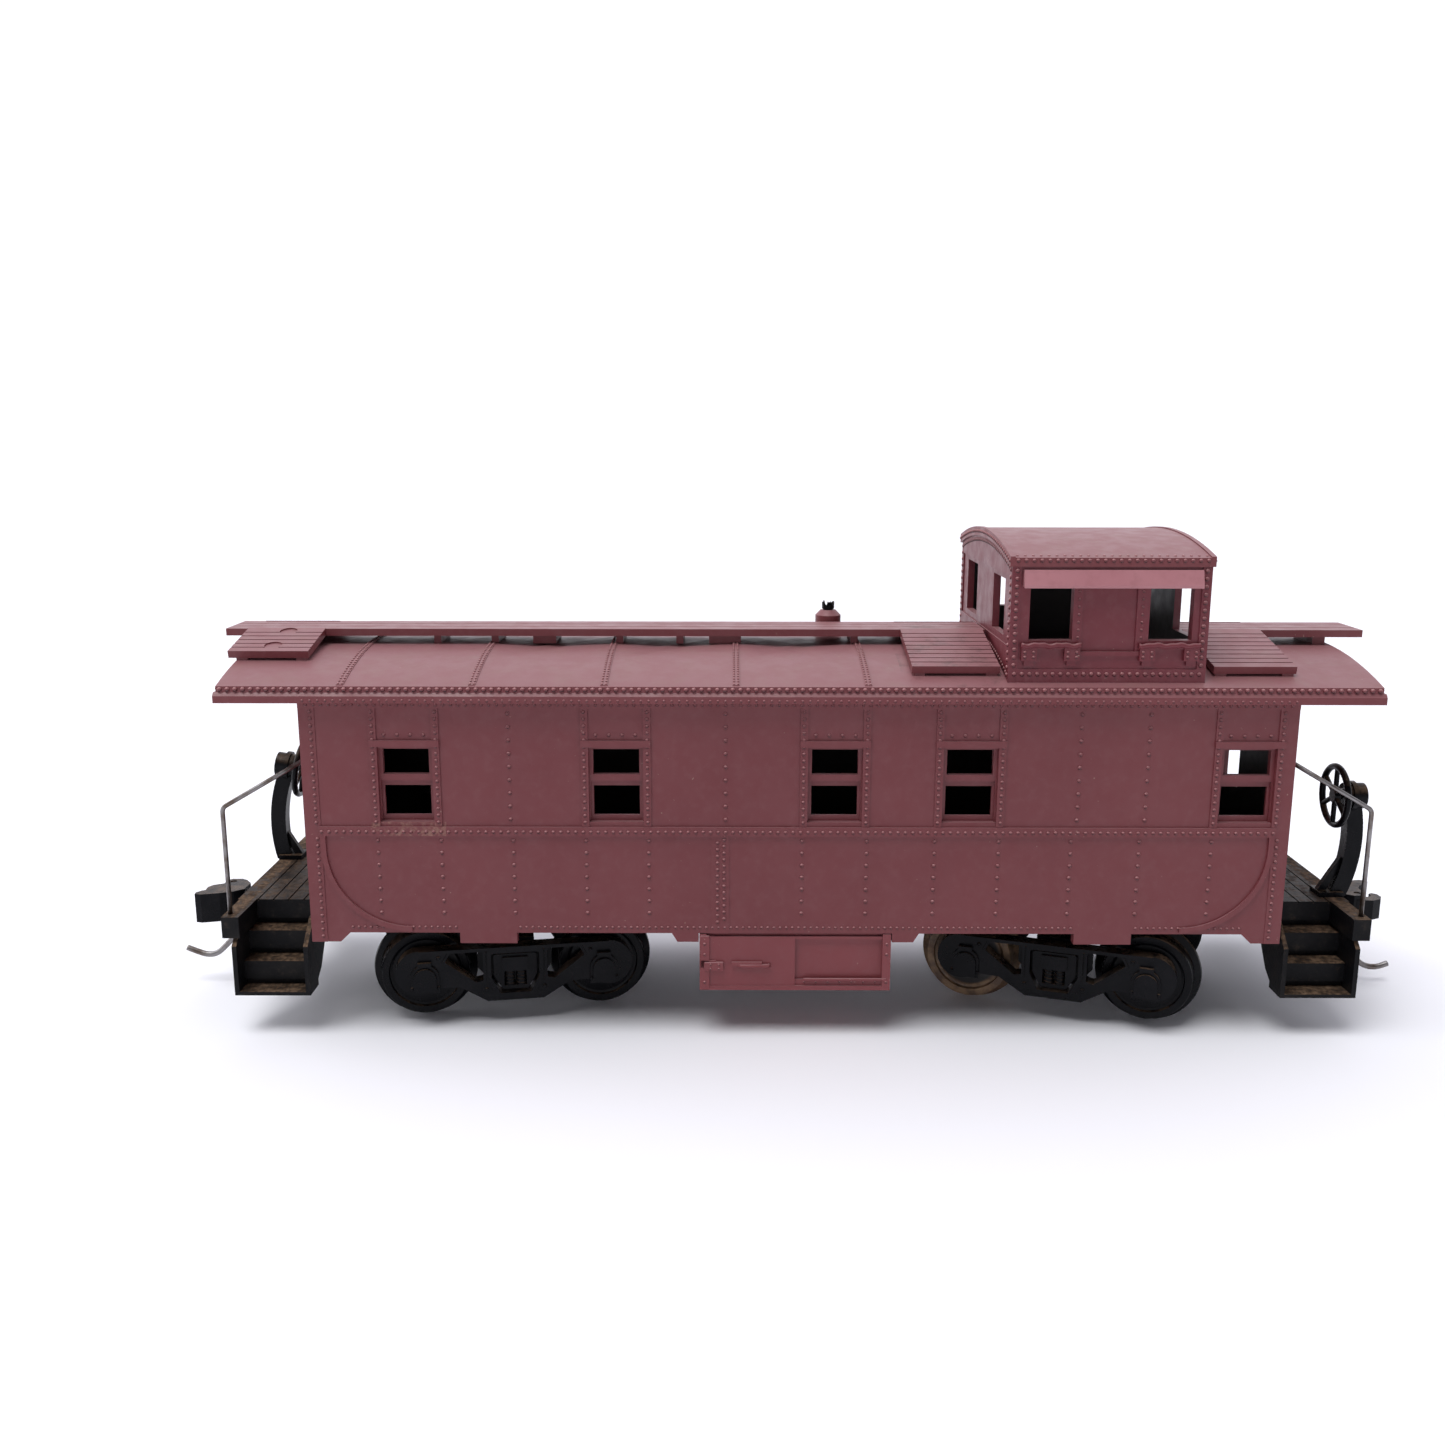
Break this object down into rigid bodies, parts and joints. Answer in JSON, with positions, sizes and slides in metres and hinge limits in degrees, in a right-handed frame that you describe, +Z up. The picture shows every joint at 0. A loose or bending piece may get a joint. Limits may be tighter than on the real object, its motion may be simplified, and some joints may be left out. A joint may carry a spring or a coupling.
{
  "type": "model railway cupola caboose, HO scale 1:87",
  "caption": "HO model of a steel cupola caboose with riveted sides, roof walk, end platforms with brake wheels, two swivelling trucks and knuckle couplers.",
  "frame": {"origin": "on the floor under the middle of the car", "axes": "+X along the car towards the cupola end, +Y across it towards the far side, +Z up"},
  "size_m": [0.1454, 0.0334, 0.0547],
  "materials": {
    "oxide_red_plastic": "satin oxide-red moulded plastic",
    "black_plastic": "matte black moulded plastic",
    "steel": "bright steel wire, axles and screws",
    "steel_weight": "plain steel ballast plate",
    "dusty_wheel_plastic": "brown-stained wheel plastic"
  },
  "bodies": {
    "car": {"body_shell": "oxide_red_plastic", "roof": "oxide_red_plastic", "cupola_body": "oxide_red_plastic", "cupola_roof": "oxide_red_plastic", "cupola_visors": "oxide_red_plastic", "roof_walk_long": "oxide_red_plastic", "roof_walk_short": "oxide_red_plastic", "smokejack_base": "oxide_red_plastic", "smokejack_stub": "black_plastic", "underframe": "black_plastic", "floor_weight": "steel_weight", "floor_screws": "steel", "toolbox_near": "oxide_red_plastic", "toolbox_far": "oxide_red_plastic", "platform_a": "black_plastic", "platform_b": "black_plastic", "handrail_a_near": "steel", "handrail_a_far": "steel", "handrail_b_near": "steel", "handrail_b_far": "steel", "brake_stand_a": "black_plastic", "brake_stand_b": "black_plastic", "brake_wheel_a": "black_plastic", "brake_wheel_b": "black_plastic", "truck_screws": "steel", "coupler_box_a": "black_plastic", "coupler_box_b": "black_plastic", "coupler_lid_a": "black_plastic", "coupler_lid_b": "black_plastic", "coupler_screws": "steel"},
    "truck_a": {"sideframe_a_near": "black_plastic", "sideframe_a_far": "black_plastic", "bolster_a": "black_plastic"},
    "truck_b": {"sideframe_b_near": "black_plastic", "sideframe_b_far": "black_plastic", "bolster_b": "black_plastic"},
    "wheelset_a1": {"axle_a1": "steel", "wheel_a1_near": "black_plastic", "wheel_a1_far": "black_plastic"},
    "wheelset_a2": {"axle_a2": "steel", "wheel_a2_near": "black_plastic", "wheel_a2_far": "black_plastic"},
    "wheelset_b1": {"axle_b1": "steel", "wheel_b1_near": "dusty_wheel_plastic", "wheel_b1_far": "black_plastic"},
    "wheelset_b2": {"axle_b2": "steel", "wheel_b2_near": "black_plastic", "wheel_b2_far": "black_plastic"},
    "coupler_a": {"coupler_a": "black_plastic", "trip_pin_a": "steel"},
    "coupler_b": {"coupler_b": "black_plastic", "trip_pin_b": "steel"},
    "knuckle_a": {"knuckle_a": "black_plastic"},
    "knuckle_b": {"knuckle_b": "black_plastic"}
  },
  "joints": [
    {"name": "truck_a_swivel", "type": "hinge", "parent": "car", "child": "truck_a", "pos_m": [-0.0332, 0, 0.0095], "axis": [0, 0, 1], "range_deg": [-32, 12]},
    {"name": "truck_b_swivel", "type": "hinge", "parent": "car", "child": "truck_b", "pos_m": [0.0332, 0, 0.0095], "axis": [0, 0, 1], "range_deg": [-3, 41]},
    {"name": "wheelset_a1_roll", "type": "hinge", "parent": "truck_a", "child": "wheelset_a1", "pos_m": [-0.04295, -0.00172, 0.0058], "axis": [-0.1736, 0.9848, 0], "continuous": true},
    {"name": "wheelset_a2_roll", "type": "hinge", "parent": "truck_a", "child": "wheelset_a2", "pos_m": [-0.02345, 0.00172, 0.0058], "axis": [-0.1736, 0.9848, 0], "continuous": true},
    {"name": "wheelset_b1_roll", "type": "hinge", "parent": "truck_b", "child": "wheelset_b1", "pos_m": [0.02384, 0.00322, 0.0058], "axis": [0.3256, 0.9455, 0], "continuous": true},
    {"name": "wheelset_b2_roll", "type": "hinge", "parent": "truck_b", "child": "wheelset_b2", "pos_m": [0.04256, -0.00322, 0.0058], "axis": [0.3256, 0.9455, 0], "continuous": true},
    {"name": "coupler_a_swing", "type": "hinge", "parent": "car", "child": "coupler_a", "pos_m": [-0.054, 0, 0.0101], "axis": [0, 0, 1], "range_deg": [-8, 8], "stiffness_Nm_per_rad": 0.0004},
    {"name": "knuckle_a_open", "type": "hinge", "parent": "coupler_a", "child": "knuckle_a", "pos_m": [-0.06705, 0.00165, 0.0101], "axis": [0, 0, -1], "range_deg": [0, 22], "stiffness_Nm_per_rad": 0.0002},
    {"name": "coupler_b_swing", "type": "hinge", "parent": "car", "child": "coupler_b", "pos_m": [0.054, 0, 0.0101], "axis": [0, 0, 1], "range_deg": [-8, 8], "stiffness_Nm_per_rad": 0.0004},
    {"name": "knuckle_b_open", "type": "hinge", "parent": "coupler_b", "child": "knuckle_b", "pos_m": [0.06705, -0.00165, 0.0101], "axis": [0, 0, -1], "range_deg": [0, 22], "stiffness_Nm_per_rad": 0.0002}
  ]
}
